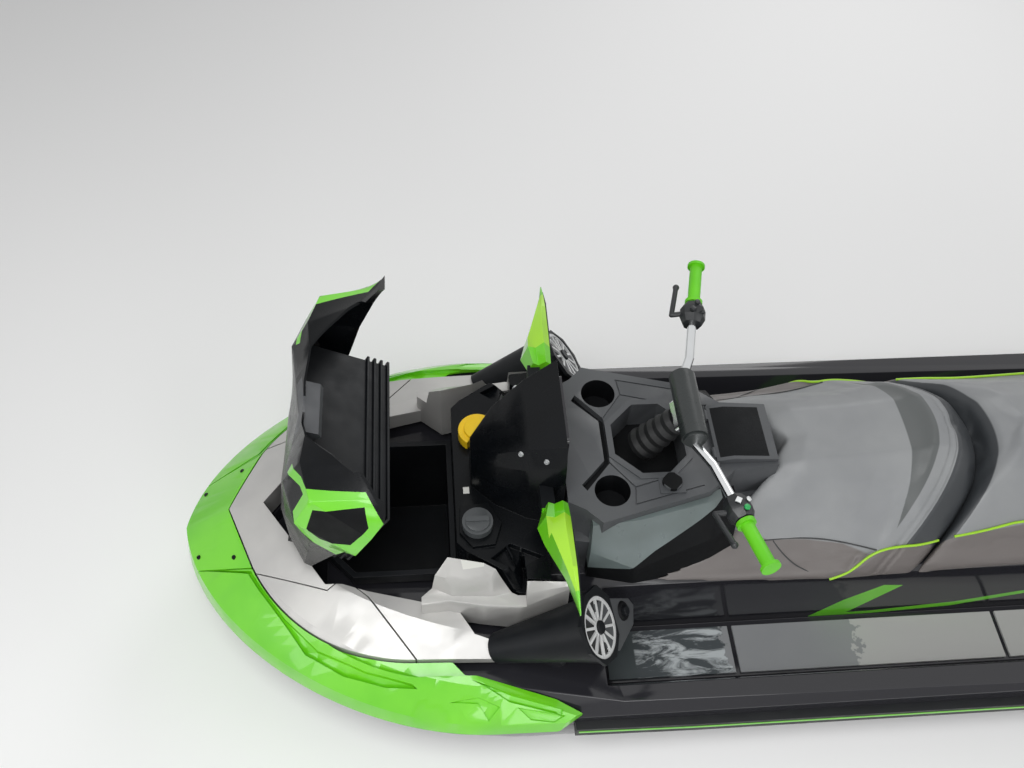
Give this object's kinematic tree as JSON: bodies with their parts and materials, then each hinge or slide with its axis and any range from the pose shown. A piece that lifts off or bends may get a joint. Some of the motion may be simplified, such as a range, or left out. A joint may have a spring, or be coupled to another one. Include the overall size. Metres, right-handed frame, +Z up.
{
  "type": "personal watercraft",
  "caption": "Sit-down jet-drive personal watercraft with a stepped saddle, open bow storage lid, steering bar, mirrors and speaker pods.",
  "frame": {"origin": "on the waterline amidships, on the centre plane", "axes": "+X forward to the bow, +Y to port, +Z up"},
  "size_m": [3.5863, 1.203, 1.2561],
  "materials": {
    "gelcoat_black": "polished",
    "rail_rubber": "satin",
    "lime_moulding": "gloss",
    "silver_paint": "satin",
    "black_moulding": "fine grain",
    "grey_moulding": "fine grain",
    "display_glass": "gloss",
    "mirror_glass": "polished",
    "boot_rubber": "matte",
    "bar_steel": "polished",
    "pad_foam": "matte",
    "grip_rubber": "satin",
    "control_plastic": "fine grain",
    "seat_vinyl": "grained",
    "mat_foam": "brushed",
    "speaker_grille": "satin",
    "yellow_plastic": "gloss",
    "cleat_metal": "satin",
    "cast_aluminium": "cast",
    "impeller_steel": "polished",
    "step_steel": "satin",
    "engine_iron": "cast"
  },
  "bodies": {
    "craft": {"hull": "gelcoat_black", "deck": "gelcoat_black", "bond_rail": "rail_rubber", "bow_cap": "lime_moulding", "bow_fairings": "lime_moulding", "front_cowl": "silver_paint", "side_cowls": "silver_paint", "storage_bin": "black_moulding", "dash_cowl": "black_moulding", "meter_display": "display_glass", "mirror_housings": "lime_moulding", "mirror_glasses": "mirror_glass", "upper_cowls": "silver_paint", "console": "grey_moulding", "knee_panels": "grey_moulding", "steering_neck": "boot_rubber", "front_seat": "seat_vinyl", "grab_handle": "black_moulding", "deck_mats": "mat_foam", "speaker_pods": "black_moulding", "speaker_grilles": "speaker_grille", "fuel_cap": "black_moulding", "oil_cap": "yellow_plastic", "mooring_cleats": "cleat_metal", "sponsons": "black_moulding", "ride_plate": "cast_aluminium", "intake_grate": "cast_aluminium", "pump_housing": "cast_aluminium", "step_brackets": "step_steel", "tow_eyes": "step_steel", "engine_block": "engine_iron"},
    "lid": {"storage_lid": "black_moulding", "lid_liner": "black_moulding"},
    "steering": {"handlebar": "bar_steel", "handlebar_pad": "pad_foam", "grips": "grip_rubber", "bar_controls": "control_plastic", "bar_levers": "control_plastic"},
    "glovebox": {"glovebox_cover": "grey_moulding"},
    "seat": {"rear_seat": "seat_vinyl"},
    "nozzle": {"steering_nozzle": "cast_aluminium"},
    "bucket": {"reverse_bucket": "cast_aluminium"},
    "propeller": {"impeller": "impeller_steel"},
    "step": {"boarding_step": "step_steel"}
  },
  "joints": [
    {"name": "storage_lid_hinge", "type": "hinge", "parent": "craft", "child": "lid", "pos_m": [1.4, 0, 0.45], "axis": [0, 1, 0], "range_deg": [-62, 0]},
    {"name": "steering", "type": "hinge", "parent": "craft", "child": "steering", "pos_m": [0.428, 0, 0.792], "axis": [-0.5736, 0, 0.8192], "range_deg": [-25, 25]},
    {"name": "nozzle_pivot", "type": "hinge", "parent": "craft", "child": "nozzle", "pos_m": [-1.588, 0, -0.13], "axis": [0, 0, 1], "range_deg": [-20, 20]},
    {"name": "reverse_bucket_pivot", "type": "hinge", "parent": "craft", "child": "bucket", "pos_m": [-1.535, 0, -0.13], "axis": [0, 1, 0], "range_deg": [-60, 0]},
    {"name": "impeller_shaft", "type": "hinge", "parent": "craft", "child": "propeller", "pos_m": [-1.27, 0, -0.13], "axis": [1, 0, 0], "continuous": true},
    {"name": "glovebox_hinge", "type": "hinge", "parent": "craft", "child": "glovebox", "pos_m": [0.348, 0, 0.689], "axis": [0, 1, 0], "range_deg": [0, 60]},
    {"name": "rear_seat_lift", "type": "slide", "parent": "craft", "child": "seat", "axis": [0, 0, 1], "range_m": [0, 0.15]},
    {"name": "boarding_step_hinge", "type": "hinge", "parent": "craft", "child": "step", "pos_m": [-1.782, 0, -0.062], "axis": [0, 1, 0], "range_deg": [-160, 0], "stiffness_Nm_per_rad": 2, "springref_deg": 20.05}
  ],
  "couplings": [
    {"joint": "nozzle_pivot", "follows": "steering", "ratio": 0.8}
  ]
}
